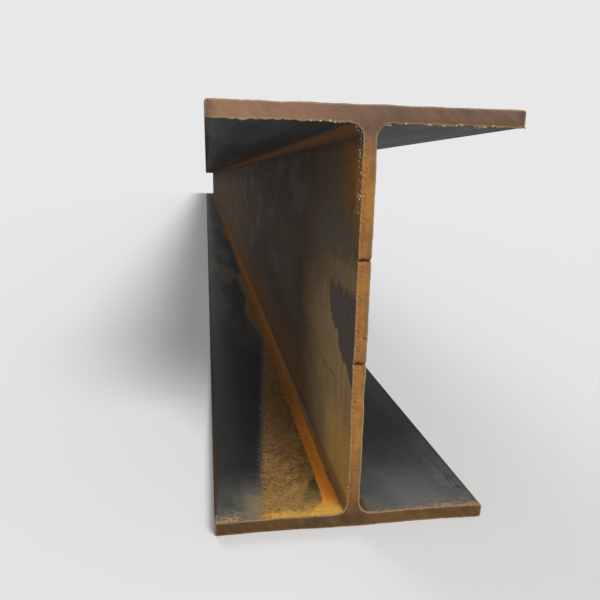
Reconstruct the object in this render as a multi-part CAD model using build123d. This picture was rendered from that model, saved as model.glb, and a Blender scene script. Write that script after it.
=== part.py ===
"""Rolled wide-flange steel beam, one piece of stock.

The beam lies along Y on its bottom flange, with X across its width and Z through its depth. The origin
is the middle of its footprint. The end at -Y was cut by hand with a torch, in one pass across each
flange and one down the web. That face sways a little along each pass, and the web keeps a nick
wherever the torch stopped. The end at +Y is a plain square saw cut.
"""

import os
from math import cos, pi

from build123d import *

# Rolled section
DEPTH = 434.0
FLANGE_WIDTH = 300.0
FLANGE_THICKNESS = 16.0
WEB_THICKNESS = 14.0
ROOT_RADIUS = 13.0
TIP_RADIUS = 3.0

# Stock length
LENGTH = 12000.0

# Torch cut at the -Y end
SWAY_DEPTH = 1.8
FLANGE_SWAY_LENGTH = 170.0
WEB_SWAY_LENGTH = 130.0
SWAY_POINTS = 13

# Nicks across the web's cut edge, placed as shares of its clear height
NICK_PLACES = (0.425, 0.687)
NICK_DEPTH = 4.0
NICK_WIDTH = 6.0
NICK_ROOT_RADIUS = 0.8

# Overrun of a cutter past what it cuts
OVERRUN = 5.0

CUT_PLANE_Y = -LENGTH / 2
CLEAR_HEIGHT = DEPTH - 2 * FLANGE_THICKNESS
MATCH = 0.001


def rolled_section() -> Sketch:
    """Return the section in its own plane, x across and y up, standing on y = 0."""
    flange = fillet(Rectangle(FLANGE_WIDTH, FLANGE_THICKNESS).vertices(), TIP_RADIUS)
    bottom = Pos(0, FLANGE_THICKNESS / 2) * flange
    top = Pos(0, DEPTH - FLANGE_THICKNESS / 2) * flange
    web = Pos(0, DEPTH / 2) * Rectangle(WEB_THICKNESS, CLEAR_HEIGHT)
    outline = bottom + web + top
    roots = [
        corner
        for corner in outline.vertices()
        if abs(abs(corner.X) - WEB_THICKNESS / 2) < MATCH
    ]
    return fillet(roots, ROOT_RADIUS)


def rolled_bar() -> Part:
    """Return the section run out to the stock length, both ends square."""
    return extrude(Plane.XZ * rolled_section(), amount=LENGTH / 2, both=True)


def sway(distance: float, wavelength: float) -> float:
    """Return how deep the torch strays into the beam at a distance along its pass."""
    return SWAY_DEPTH * (1 - cos(2 * pi * distance / wavelength)) / 2


def pass_face(reach: float, wavelength: float) -> Sketch:
    """Return the waste that one torch pass leaves outside its swaying line.

    The pass runs along local x, as far as the reach to each side of x = 0, and local y is the
    distance into the beam.
    """
    step = 2 * reach / (SWAY_POINTS - 1)
    places = [-reach + step * number for number in range(SWAY_POINTS)]
    line = Spline([(place, sway(place, wavelength)) for place in places])
    back = Polyline(line @ 1, (reach, -OVERRUN), (-reach, -OVERRUN), line @ 0)
    return make_face([line, back])


def flange_pass(height: float) -> Part:
    """Return the waste of the pass across the flange whose middle is at a height."""
    face = pass_face(FLANGE_WIDTH / 2 + OVERRUN, FLANGE_SWAY_LENGTH)
    return Pos(0, CUT_PLANE_Y, height) * extrude(face, FLANGE_THICKNESS / 2, both=True)


def web_pass() -> Part:
    """Return the waste of the pass down the web, taken between the two flanges."""
    across = WEB_THICKNESS / 2 + ROOT_RADIUS + OVERRUN
    face = pass_face(CLEAR_HEIGHT / 2, WEB_SWAY_LENGTH)
    down_the_web = Plane(origin=(0, CUT_PLANE_Y, DEPTH / 2), x_dir=(0, 0, 1), z_dir=(-1, 0, 0))
    return extrude(down_the_web * face, across, both=True)


def nick(share: float) -> Part:
    """Return the groove that a stopped torch leaves across the web's cut edge."""
    height = FLANGE_THICKNESS + share * CLEAR_HEIGHT
    deepest = sway(height - DEPTH / 2, WEB_SWAY_LENGTH) + NICK_DEPTH
    mouth = NICK_WIDTH * (deepest + OVERRUN) / NICK_DEPTH / 2
    groove = Polygon((-mouth, -OVERRUN), (mouth, -OVERRUN), (0, deepest), align=None)
    root = groove.vertices().sort_by(Axis.Y)[-1]
    across_the_web = Plane(origin=(0, CUT_PLANE_Y, height), x_dir=(0, 0, 1), z_dir=(-1, 0, 0))
    return extrude(across_the_web * fillet(root, NICK_ROOT_RADIUS), WEB_THICKNESS, both=True)


def h_beam() -> Part:
    """Return the finished beam: the rolled bar with its torch-cut end."""
    beam = rolled_bar()
    beam -= flange_pass(FLANGE_THICKNESS / 2)
    beam -= flange_pass(DEPTH - FLANGE_THICKNESS / 2)
    beam -= web_pass()
    for share in NICK_PLACES:
        beam -= nick(share)
    return beam


os.makedirs("parts", exist_ok=True)
export_step(h_beam(), "parts/h_beam.step")
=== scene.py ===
"""Looks of a rolled steel H-beam: mill scale, rust and a torch-cut end, in a plain pale studio.

The beam lies along Y on the floor, with its torch-cut end at -Y. One skin stands for the whole rolled
piece. It is swept from the section, and it is finely divided only where the torch cut it. The slag that
the torch left hangs on the cut's exit edges. Lengths are in metres, and angles in degrees.
"""

from __future__ import annotations

import logging
import math
from abc import ABC, abstractmethod
from collections.abc import Callable, Iterable
from dataclasses import dataclass, field
from enum import Enum
from functools import cached_property
from itertools import accumulate, pairwise
from typing import ClassVar

import bmesh
import bpy
from bpy.types import ID, Material, Node, NodeSocket, NodeTree, Object
from mathutils import Matrix, Vector, noise
from mathutils.geometry import delaunay_2d_cdt

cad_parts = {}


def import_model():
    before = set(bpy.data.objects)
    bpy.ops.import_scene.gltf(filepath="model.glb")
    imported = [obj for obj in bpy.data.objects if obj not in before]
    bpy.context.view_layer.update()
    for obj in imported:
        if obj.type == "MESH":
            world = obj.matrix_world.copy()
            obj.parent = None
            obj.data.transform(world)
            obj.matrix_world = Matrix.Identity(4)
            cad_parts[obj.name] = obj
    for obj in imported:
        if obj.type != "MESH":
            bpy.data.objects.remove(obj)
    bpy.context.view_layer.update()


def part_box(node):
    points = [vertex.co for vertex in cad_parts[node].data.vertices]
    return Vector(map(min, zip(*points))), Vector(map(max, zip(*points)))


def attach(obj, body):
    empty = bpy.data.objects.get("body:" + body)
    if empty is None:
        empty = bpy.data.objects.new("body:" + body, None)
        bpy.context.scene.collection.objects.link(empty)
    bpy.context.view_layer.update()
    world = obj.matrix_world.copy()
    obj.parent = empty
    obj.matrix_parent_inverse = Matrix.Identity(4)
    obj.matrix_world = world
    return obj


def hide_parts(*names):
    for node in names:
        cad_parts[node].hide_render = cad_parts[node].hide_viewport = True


LOG = logging.getLogger("h_beam")

NODE = "h_beam"
BODY = "root"

MM = 0.001
MERGE_DISTANCE = MM / 50
PLACE_DIGITS = 5
FACING = 0.5
HALFWAY_ROUND = 0.5

QUICK_SEED = Vector((7.0, 3.0, 1.0))
LIP_SEED = Vector((2.0, 9.0, 4.0))
UP_SEED = Vector((5.0, 9.0, 3.0))
NOISE_STEP = 0.7
NOISE_LEVEL = 0.3

RIM_DISTANCE = "rim_distance"
ROUND_DISTANCE = "round_distance"
CUT_DISTANCE = "cut_distance"
BAKE_MAP = "OFBake"

Colour = tuple[float, float, float]
Place = tuple[float, float]
Point = tuple[float, float, float]
BMesh = bmesh.types.BMesh
Ring = list[bmesh.types.BMVert]


class SkinSlot(Enum):
    """Material slots of the beam's skin, in order."""

    FLANGES = 0
    WEB = 1
    TORCH_CUT = 2
    SAW_CUT = 3


def smooth_step(value: float, low: float, high: float) -> float:
    """Return how far a value has come from low to high, as a share that eases at both ends."""
    share = min(max((value - low) / (high - low), 0.0), 1.0)
    return share * share * (3 - 2 * share)


def put_in_scene(data: ID) -> Object:
    """Put a mesh, lamp or camera in the scene.

    Args:
        data: The mesh, the lamp or the camera.

    Returns:
        Its object, of the same name.
    """
    made = bpy.data.objects.new(data.name, data)
    bpy.context.scene.collection.objects.link(made)
    return made


@dataclass(frozen=True)
class Straight:
    """A straight stretch of the section's outline.

    Attributes:
        start: First corner, as x and z.
        end: Last corner.
        spans: How many lengths the plain skin has here.
        splits: How many fine lengths each of those has near the torch cut.
    """

    start: Place
    end: Place
    spans: int
    splits: int

    def at(self, share: float) -> Place:
        """Return the place at a share of the stretch."""
        across = self.start[0] + (self.end[0] - self.start[0]) * share
        up = self.start[1] + (self.end[1] - self.start[1]) * share
        return (across, up)


@dataclass(frozen=True)
class Round:
    """A round stretch of the section's outline: a root fillet or the corner of a flange tip.

    Attributes:
        centre: Centre of the arc, as x and z.
        radius: Its radius.
        first: Angle where it starts, from +X towards +Z.
        turn: Angle that it turns through, negative in a fillet.
        spans: How many lengths the plain skin has here.
        splits: How many fine lengths each of those has near the torch cut.
    """

    centre: Place
    radius: float
    first: float
    turn: float
    spans: int
    splits: int

    def at(self, share: float) -> Place:
        """Find a place on the stretch.

        Args:
            share: How far along the stretch it is, from 0 to 1.

        Returns:
            The place.
        """
        angle = math.radians(self.first + self.turn * share)
        across = self.centre[0] + self.radius * math.cos(angle)
        up = self.centre[1] + self.radius * math.sin(angle)
        return (across, up)


@dataclass(frozen=True)
class Section:
    """The rolled section, standing on z = 0.

    Attributes:
        width: Flange width.
        depth: Height over both flanges.
        flange: Flange thickness.
        web: Web thickness.
        root: Radius of the fillets between web and flanges.
        tip: Radius of the flange tips' corners.
    """

    width: float
    depth: float
    flange: float = 16 * MM
    web: float = 14 * MM
    root: float = 13 * MM
    tip: float = 3 * MM

    @property
    def toe(self) -> float:
        """Distance from the web's middle to where a fillet meets the flange."""
        return self.web / 2 + self.root

    def right_half(self) -> list[Straight | Round]:
        """Draw the right half of the outline.

        Returns:
            Its stretches, from the bottom's middle up to the top's.
        """
        half, web, toe, tip, root = self.width / 2, self.web / 2, self.toe, self.tip, self.root
        low, high = self.flange, self.depth - self.flange
        in_x, under, over, top = half - tip, low - tip, high + tip, self.depth - tip
        return [
            Straight((0, 0), (in_x, 0), spans=3, splits=32),
            Round((in_x, tip), tip, first=-90, turn=90, spans=2, splits=2),
            Straight((half, tip), (half, under), spans=1, splits=6),
            Round((in_x, under), tip, first=0, turn=90, spans=2, splits=2),
            Straight((in_x, low), (toe, low), spans=3, splits=28),
            Round((toe, low + root), root, first=270, turn=-90, spans=6, splits=3),
            Straight((web, low + root), (web, high - root), spans=8, splits=31),
            Round((toe, high - root), root, first=180, turn=-90, spans=6, splits=3),
            Straight((toe, high), (in_x, high), spans=3, splits=28),
            Round((in_x, over), tip, first=-90, turn=90, spans=2, splits=2),
            Straight((half, over), (half, top), spans=1, splits=6),
            Round((in_x, top), tip, first=0, turn=90, spans=2, splits=2),
            Straight((in_x, self.depth), (0, self.depth), spans=3, splits=32),
        ]

    def outline(self, fine: bool) -> list[Place]:
        """Return the closed outline's points, anticlockwise as seen from the torch-cut end.

        Args:
            fine: Whether to give the fine points used near the torch cut.

        Returns:
            Places as x and z. Every plain point is also a fine one.
        """
        right: list[Place] = []
        for stretch in self.right_half():
            count = stretch.spans * (stretch.splits if fine else 1)
            right += [stretch.at(number / count) for number in range(count)]
        left = [(-across, up) for across, up in reversed(right[1:])]
        return [*right, (0, self.depth), *left]

    def splits(self) -> list[int]:
        """Return how many fine lengths each plain length of the outline has, in order."""
        right = [part.splits for part in self.right_half() for _ in range(part.spans)]
        return [*right, *reversed(right)]

    def round_distances(self) -> list[float]:
        """Return how far round the fine outline each point lies, and last the whole way round."""
        outline = self.outline(True)
        steps = [math.dist(one, two) for one, two in pairwise([*outline, outline[0]])]
        return list(accumulate(steps, initial=0.0))

    def slot(self, across: float, up: float) -> SkinSlot:
        """Return the slot of a place on the rolled outline. A fillet is halved between two."""
        rise = min(up, self.depth - up) - self.flange
        halfway = self.root * (1 - math.cos(math.pi / 4))
        return SkinSlot.WEB if rise > halfway and abs(across) < self.toe else SkinSlot.FLANGES

    def inset(self, across: float, up: float) -> float:
        """Return how far inside the outline a place lies, negative outside it.

        Args:
            across: The place's x.
            up: The place's z.

        Returns:
            The distance, exact up to the web's middle and the flanges'.
        """
        side, level = abs(across), min(up, self.depth - up)
        corner = Vector((self.toe - side, self.flange + self.root - level))
        from_fillet = corner.length - self.root if min(corner) > 0 else -self.width
        inner = max(self.flange - level, self.web / 2 - side, from_fillet)
        return min(level, self.width / 2 - side, inner)


@dataclass(frozen=True)
class TorchCut:
    """The hand-cut end: how the torch swayed, where it stopped and how ragged it left the edges.

    Attributes:
        section: The section that was cut through.
        sway_depth: How deep each pass strays into the beam.
        flange_sway: Wavelength of the sway across a flange.
        web_sway: Wavelength of the sway down the web.
        nick_shares: Where the torch stopped, as shares of the web's clear height.
        nick_depth: Depth of the nick that a stop leaves.
        nick_width: Width of a nick at its mouth.
        roughness: Depth of the cut face's unevenness.
        melt: How far the heat rounded the cut's edges off.
        wander: How far the cut edges wander sideways.
        lip: How far the ragged lip hangs out where the torch left the steel.
        fade: How far from the end the wander has died away.
        blend: Height over which a flange's pass runs into the web's.
        face_grain: Size of the face's unevenness.
        coarse_share: How much of it is as coarse as that.
        fine_share: How much of it is three times finer.
        nick_grain: Size of the nicks' wavering.
        nick_waver: How much a nick's depth wavers.
        slow_grain: Size of the edges' slow wander.
        slow_share: Its share of the wander.
        quick_grain: Size of their quick wander.
        quick_share: Its share.
        lip_grain: Size of the lip's tatters.
        lip_middle: A middling tatter's length, as a share of the lip's.
        lip_swing: How much the tatters' lengths vary.
        spatter_share: Share of the web's clear height above which the cut spat.
    """

    section: Section
    sway_depth: float = 1.8 * MM
    flange_sway: float = 170 * MM
    web_sway: float = 130 * MM
    nick_shares: tuple[float, ...] = (0.425, 0.687)
    nick_depth: float = 4 * MM
    nick_width: float = 6 * MM
    roughness: float = 0.4 * MM
    melt: float = 0.8 * MM
    wander: float = 0.8 * MM
    lip: float = 1.1 * MM
    fade: float = 9 * MM
    blend: float = 12 * MM
    face_grain: float = 9 * MM
    coarse_share: float = 0.6
    fine_share: float = 0.3
    nick_grain: float = 4 * MM
    nick_waver: float = 0.3
    slow_grain: float = 24 * MM
    slow_share: float = 0.8
    quick_grain: float = 5 * MM
    quick_share: float = 0.35
    lip_grain: float = 6 * MM
    lip_middle: float = 0.2
    lip_swing: float = 1.3
    spatter_share: float = 0.8

    @property
    def clear(self) -> float:
        """The web's clear height between the flanges."""
        return self.section.depth - 2 * self.section.flange

    def sway(self, distance: float, wavelength: float) -> float:
        """Return how deep a pass strays into the beam at a distance along it."""
        return self.sway_depth * (1 - math.cos(2 * math.pi * distance / wavelength)) / 2

    def nick_heights(self) -> tuple[float, ...]:
        """Return the nicks' heights above the floor."""
        return tuple(self.section.flange + share * self.clear for share in self.nick_shares)

    def nick(self, across: float, up: float) -> float:
        """Return how much deeper the nicks make the web's cut edge at a place.

        Args:
            across: The place's x.
            up: The place's z.

        Returns:
            The extra depth.
        """
        waver = noise.noise(Vector((across, up / 4, 0.0)) / self.nick_grain)
        height = up + 2 * self.wander * waver
        nearest = min(abs(height - nick) for nick in self.nick_heights())
        open_share = 1 - nearest / (self.nick_width / 2)
        return max(self.nick_depth * open_share * (1 - self.nick_waver * waver), 0.0)

    def depth(self, across: float, up: float) -> float:
        """Return how far behind the end plane the cut face lies at a place of the section.

        Args:
            across: The place's x.
            up: The place's z.

        Returns:
            The depth, with the face's unevenness in it.
        """
        section = self.section
        level = min(up, section.depth - up)
        web_share = smooth_step(level, section.flange - self.blend / 4, section.flange + self.blend)
        flange = self.sway(across, self.flange_sway)
        web = self.sway(up - section.depth / 2, self.web_sway) + self.nick(across, up)
        spot = Vector((across, up, 0)) / self.face_grain
        coarse, fine = noise.noise(spot), noise.noise(spot * 3)
        rough = self.roughness * (0.5 + self.coarse_share * coarse + self.fine_share * fine)
        return flange + (web - flange) * web_share + max(rough, 0.0)

    def edge_shift(self, across: float, up: float, outward: Vector) -> Vector:
        """Return how far the cut edge wanders from the section's outline at a place.

        Args:
            across: The place's x.
            up: The place's z.
            outward: The outline's outward direction there, as x and z.

        Returns:
            The shift as x and z. It never goes below the face that the beam lies on.
        """
        spot = Vector((across, up, 0.0))
        slow = noise.noise(spot / self.slow_grain)
        quick = noise.noise(spot / self.quick_grain + QUICK_SEED)
        shift = self.wander * (self.slow_share * slow + self.quick_share * quick) - self.wander / 4
        if self.leaves_lip(across, up, outward):
            ragged = noise.noise(spot / self.lip_grain + LIP_SEED)
            shift += self.lip * max(self.lip_middle + self.lip_swing * ragged, 0.0)
        moved = outward * shift
        if up + moved.y < 0:
            moved.y = -up
        return moved

    def leaves_lip(self, across: float, up: float, outward: Vector) -> bool:
        """Return whether the torch came out of a flange here, under the top one."""
        return up > self.section.depth / 2 and outward.y < -FACING

    def leaves_spatter(self, across: float, up: float, outward: Vector) -> bool:
        """Return whether the cut spat beads on the web here: on its left, near the top."""
        high = (up - self.section.flange) / self.clear > self.spatter_share
        return outward.x < -FACING and abs(across) < self.section.toe and high


@dataclass(frozen=True)
class SkinMap:
    """The skin laid out flat for baked textures, largest where the beam has most detail.

    The sides unroll into a near sheet beside the torch cut and a far sheet for the rest. The cut face
    lies above the sheets in three bars, the web's and each flange's, with the sawn face beside them.

    Attributes:
        section: The rolled section.
        near: How far from the cut the near sheet ends.
        far: How far from the cut the beam ends.
        far_top: Top of the far sheet, as a share of the map.
        near_top: Top of the near sheet.
        gap: Gap between islands.
        spill: How far a bar's faces may reach past it.
        near_head: Share added to a place on the near sheet before it is crowded.
        far_head: The same on the far sheet.
        crowding: Power that crowds the far places of a sheet.
    """

    section: Section
    near: float
    far: float
    far_top: float = 0.40
    near_top: float = 0.75
    gap: float = 0.0075
    spill: float = 2 * MM
    near_head: float = 0.03
    far_head: float = 0.1
    crowding: float = 0.6

    @property
    def clear(self) -> float:
        """Share of the map's width between its margins."""
        return 1 - 2 * self.gap

    @property
    def root_level(self) -> float:
        """Height where the lower fillets end and the web's bar begins."""
        return self.section.flange + self.section.root

    @property
    def scale(self) -> float:
        """Share of the map that a metre of the cut face covers."""
        return self.clear / (self.section.depth - 2 * self.root_level + 2 * self.spill)

    @property
    def web_bar(self) -> float:
        """Height of the web's bar."""
        return self.scale * (self.section.web + 2 * self.spill)

    @property
    def flange_bar(self) -> float:
        """Height of a flange's bar, with the fillets beside it."""
        return self.scale * (self.root_level + 2 * self.spill)

    def crowded(self, share: float, head: float) -> float:
        """Return a share of a sheet's length, moved so that its start gets more of the sheet."""
        low, high = head**self.crowding, (1 + head) ** self.crowding
        return ((share + head) ** self.crowding - low) / (high - low)

    def on_near_sheet(self, cut: float, around: float) -> Place:
        """Return the place on the near sheet, by the share of the way round the section."""
        height = self.near_top - self.far_top - 2 * self.gap
        down = height * self.crowded(cut / self.near, self.near_head)
        return self.gap + self.clear * around, self.near_top - self.gap - down

    def on_far_sheet(self, cut: float, around: float) -> Place:
        """Return the place on the far sheet, by the share of the way round the section."""
        share = (cut - self.near) / (self.far - self.near)
        along = self.gap + self.clear * self.crowded(share, self.far_head)
        return along, self.gap + (self.far_top - 2 * self.gap) * around

    def on_cut_face(self, across: float, up: float, middle: float) -> Place:
        """Return the place on the torch-cut face's bars.

        Args:
            across: The place's x.
            up: The place's z.
            middle: Height of the middle of its face, which says which bar it is on.

        Returns:
            The place on the map.
        """
        section, low = self.section, self.root_level
        base = self.near_top + self.gap
        if low < middle < section.depth - low:
            side = section.web / 2 + self.spill - across
            return self.gap + self.scale * (up - low + self.spill), base + self.scale * side
        base += self.web_bar + self.gap
        if middle > low:
            base += self.flange_bar + self.gap
            up -= section.depth - low
        side = section.width / 2 + self.spill + across
        return self.gap + self.scale * side, base + self.scale * (up + self.spill)

    def on_sawn_face(self, across: float, up: float) -> Place:
        """Return the place on the sawn face, which lies beside the flanges' bars.

        Args:
            across: The place's x.
            up: The place's z.

        Returns:
            The place on the map.
        """
        start = 3 * self.gap + self.scale * (self.section.width + 2 * self.spill)
        scale = (1 - self.gap - start) / self.section.depth
        base = self.near_top + 2 * self.gap + self.web_bar
        return start + scale * up, base + scale * (across + self.section.width / 2)

    def fill(self, bm: BMesh) -> None:
        """Give every corner of the skin its place on the map.

        Args:
            bm: The skin, whose vertices know how far round the section and from the cut they lie.
        """
        layer = bm.loops.layers.uv.new(BAKE_MAP)
        around = bm.verts.layers.float[ROUND_DISTANCE]
        cut = bm.verts.layers.float[CUT_DISTANCE]
        girth = self.section.round_distances()[-1]
        for face in bm.faces:
            places = [vert.co for vert in face.verts]
            middle = face.calc_center_median().z
            cuts = [vert[cut] for vert in face.verts]
            rounds = [vert[around] / girth for vert in face.verts]
            if max(rounds) - min(rounds) > HALFWAY_ROUND:
                rounds = [share + (share < HALFWAY_ROUND) for share in rounds]
            if face.material_index == SkinSlot.SAW_CUT.value:
                spots = [self.on_sawn_face(place.x, place.z) for place in places]
            elif max(cuts) == 0:
                spots = [self.on_cut_face(place.x, place.z, middle) for place in places]
            else:
                near = sum(cuts) / len(cuts) < self.near
                spots = map(self.on_near_sheet if near else self.on_far_sheet, cuts, rounds)
            for loop, spot in zip(face.loops, spots, strict=True):
                loop[layer].uv = spot


@dataclass
class BeamSkin:
    """The beam's whole surface as one closed mesh, fine at the torch cut and plain elsewhere.

    Attributes:
        section: The rolled section.
        cut: The torch cut at the -Y end.
        start: Y of the torch-cut end.
        end: Y of the saw-cut end.
        collar: Length of the finely divided stretch behind the torch cut.
        collar_rings: How many rings that stretch has.
        rim_turns: How many steps its melted rim is rounded in.
        body_rings: How many rings the rest has.
        crowding: How strongly the rest's rings crowd towards the collar.
        settle: How many fades behind the cut the collar still follows the cut face's depth.
        grain: Spacing of the points inside the torch-cut face.
        shake: How far those points are shaken off their grid, as a share of the spacing.
        sharp_angle: Angle above which an edge isn't smoothed over.
        sharp_length: About how much of the beam gets sharp baked textures.
        spatter_start: How many rings behind the rim the spatter starts.
        spatter_rings: How many rings it covers.
        lip_lines: Runs of the cut edge that slag hangs from, known once the skin is built.
        spatter_lines: Runs beside the cut edge that beads were spat on.
    """

    section: Section
    cut: TorchCut
    start: float
    end: float
    collar: float = 45 * MM
    collar_rings: int = 14
    rim_turns: int = 3
    body_rings: int = 150
    crowding: float = 2.2
    settle: float = 2.5
    grain: float = 1.3 * MM
    shake: float = 0.3
    sharp_angle: float = 38.0
    sharp_length: float = 0.5
    spatter_start: int = 3
    spatter_rings: int = 3
    lip_lines: list[list[Vector]] = field(default_factory=list)
    spatter_lines: list[list[Vector]] = field(default_factory=list)

    def build(self) -> Object:
        """Build the skin.

        Returns:
            The beam as one object, with no material in its four slots yet.
        """
        body = self.sweep_body()
        bm = bmesh.new()
        bm.from_mesh(body.data)
        for name in (RIM_DISTANCE, ROUND_DISTANCE, CUT_DISTANCE):
            bm.verts.layers.float.new(name)
        bpy.data.objects.remove(body)
        for face in bm.faces:
            middle = face.calc_center_median()
            face.material_index = self.section.slot(middle.x, middle.z).value
        rings = self.add_collar(bm)
        self.add_torch_face(bm, rings[0])
        self.add_saw_face(bm)
        self.measure_body(bm)
        bmesh.ops.remove_doubles(bm, verts=bm.verts[:], dist=MERGE_DISTANCE)
        self.lay_out(bm)
        bmesh.ops.recalc_face_normals(bm, faces=bm.faces[:])
        mesh = bpy.data.meshes.new("h_beam_skin")
        bm.to_mesh(mesh)
        bm.free()
        mesh.polygons.foreach_set("use_smooth", [True] * len(mesh.polygons))
        mesh.set_sharp_from_angle(angle=math.radians(self.sharp_angle))
        return put_in_scene(mesh)

    def measure_body(self, bm: BMesh) -> None:
        """Note how far round the section and from the cut each vertex of the plain rings lies.

        Args:
            bm: The mesh, before its doubles are merged.
        """
        around = bm.verts.layers.float[ROUND_DISTANCE]
        cut = bm.verts.layers.float[CUT_DISTANCE]
        fine = self.section.round_distances()
        starts = accumulate(self.section.splits(), initial=0)
        plain = {
            (round(across, PLACE_DIGITS), round(up, PLACE_DIGITS)): fine[start]
            for (across, up), start in zip(self.section.outline(False), starts, strict=False)
        }
        last = self.start + self.collar - MERGE_DISTANCE
        for vert in bm.verts:
            if vert.co.y > last:
                place = (round(vert.co.x, PLACE_DIGITS), round(vert.co.z, PLACE_DIGITS))
                vert[around] = plain.get(place, vert[around])
                vert[cut] = self.over_rim(self.collar_rings, vert.co.y - self.start)

    def over_rim(self, number: int, run: float) -> float:
        """Return a ring's distance from the cut face, measured over the rounded rim.

        Args:
            number: The ring's number from the cut face.
            run: Its distance behind the cut face.

        Returns:
            The distance over the surface.
        """
        quarter = self.cut.melt * math.pi / 2
        if number < self.rim_turns:
            return quarter * number / self.rim_turns
        return run + quarter - self.cut.melt

    def lay_out(self, bm: BMesh) -> None:
        """Lay the skin out flat for baked textures, then drop the distances it goes by.

        Args:
            bm: The skin, with its doubles merged.
        """
        distances = {round(vert[bm.verts.layers.float[CUT_DISTANCE]], 6) for vert in bm.verts}
        near = min(distances, key=lambda distance: abs(distance - self.sharp_length))
        SkinMap(self.section, near, max(distances)).fill(bm)
        for name in (ROUND_DISTANCE, CUT_DISTANCE):
            bm.verts.layers.float.remove(bm.verts.layers.float[name])

    def sweep_body(self) -> Object:
        """Sweep the plain section from the collar to the saw-cut end with Geometry Nodes.

        Returns:
            The swept stretch, open at both ends.
        """
        ring = [Vector((across, -up, 0)) for across, up in reversed(self.section.outline(False))]
        edges = [(number, (number + 1) % len(ring)) for number in range(len(ring))]
        mesh = bpy.data.meshes.new("section_line")
        mesh.from_pydata(ring, edges, [])
        values = {"Start": self.start + self.collar, "End": self.end}
        values |= {"Rings": self.body_rings, "Crowding": self.crowding}
        return baked_nodes(put_in_scene(mesh), section_sweep(), values, "swept_body")

    def collar_steps(self) -> list[tuple[float, float]]:
        """Space the collar's rings.

        Returns:
            Each ring's distance behind the cut face, and how far it is inset there.
        """
        melt, last = self.cut.melt, self.collar_rings - 1
        angles = [math.pi / 2 * turn / self.rim_turns for turn in range(self.rim_turns)]
        rim = [(melt * (1 - math.cos(angle)), melt * (1 - math.sin(angle))) for angle in angles]
        shares = [(number / last) ** 2 for number in range(self.collar_rings)]
        return rim + [(melt + (self.collar - melt) * share, 0.0) for share in shares]

    def add_collar(self, bm: BMesh) -> list[Ring]:
        """Add the fine stretch behind the torch cut, and stitch it to the plain body.

        Args:
            bm: The mesh to add to.

        Returns:
            The collar's rings of vertices, from the cut inwards.
        """
        outline = self.section.outline(True)
        outward = self.outward(outline)
        depths = [self.cut.depth(across, up) for across, up in outline]
        shifts = [self.cut.edge_shift(*place, out) for place, out in zip(outline, outward)]
        around = bm.verts.layers.float[ROUND_DISTANCE]
        cut = bm.verts.layers.float[CUT_DISTANCE]
        rounds = self.section.round_distances()
        rings = []
        for number, (run, inset) in enumerate(self.collar_steps()):
            held = 1 - smooth_step(run, 0, self.cut.fade)
            back = max(1 - run / (self.settle * self.cut.fade), 0.0)
            ring = []
            for (across, up), depth, shift, out in zip(outline, depths, shifts, outward, strict=True):
                moved = shift * held - out * inset
                y = self.start + run + depth * back
                ring.append(bm.verts.new((across + moved.x, y, max(up + moved.y, 0.0))))
            for vert, distance in zip(ring, rounds, strict=False):
                vert[around] = distance
                vert[cut] = self.over_rim(number, run)
            rings.append(ring)
        pairs = pairwise([*outline, outline[0]])
        middles = [(Vector(one) + Vector(two)) / 2 for one, two in pairs]
        slots = [self.section.slot(middle.x, middle.y) for middle in middles]
        count = len(outline)
        for number, (near, far) in enumerate(zip(rings, rings[1:], strict=False)):
            for place in range(count):
                after = (place + 1) % count
                face = bm.faces.new((near[place], near[after], far[after], far[place]))
                slot = SkinSlot.TORCH_CUT if number < self.rim_turns else slots[place]
                face.material_index = slot.value
        self.stitch(bm, rings[-1])
        rim = rings[self.rim_turns]
        self.lip_lines = self.find_runs(rim, outline, outward, self.cut.leaves_lip)
        first = self.rim_turns + self.spatter_start
        for ring in rings[first : first + self.spatter_rings]:
            self.spatter_lines += self.find_runs(ring, outline, outward, self.cut.leaves_spatter)
        return rings

    def stitch(self, bm: BMesh, fine: Ring) -> None:
        """Join the fine ring to a plain ring at the collar's end, one fan to each plain length.

        Args:
            bm: The mesh to add to.
            fine: The collar's last ring.
        """
        plain = [
            bm.verts.new((across, self.start + self.collar, up))
            for across, up in self.section.outline(False)
        ]
        place = 0
        for number, splits in enumerate(self.section.splits()):
            fan = [fine[(place + step) % len(fine)] for step in range(splits + 1)]
            place += splits
            pair = (plain[number], plain[(number + 1) % len(plain)])
            if splits > 1:
                face = bm.faces.new((*pair, *reversed(fan[1:-1])))
                middle = (pair[0].co + pair[1].co) / 2
                face.material_index = self.section.slot(middle.x, middle.z).value

    @staticmethod
    def outward(outline: list[Place]) -> list[Vector]:
        """Return the outward direction at each point of a closed outline.

        Args:
            outline: The outline's places, anticlockwise.

        Returns:
            One unit direction for each place, as x and z.
        """
        count = len(outline)
        found = []
        for number in range(count):
            before = Vector(outline[number - 1])
            after = Vector(outline[(number + 1) % count])
            along = (after - before).normalized()
            found.append(Vector((along.y, -along.x)))
        return found

    @staticmethod
    def find_runs(
        ring: Ring,
        outline: list[Place],
        outward: list[Vector],
        wanted: Callable[[float, float, Vector], bool],
    ) -> list[list[Vector]]:
        """Return the unbroken runs of a ring that a test picks out.

        Args:
            ring: A ring of vertices.
            outline: The section's places, in the same order.
            outward: The outline's outward directions.
            wanted: The test, on a place's x and z and its outward direction.

        Returns:
            One list of points for each run.
        """
        lines: list[list[Vector]] = [[]]
        for vert, (across, up), out in zip(ring, outline, outward, strict=True):
            if wanted(across, up, out):
                lines[-1].append(vert.co.copy())
            elif lines[-1]:
                lines.append([])
        return [line for line in lines if len(line) > 1]

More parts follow.
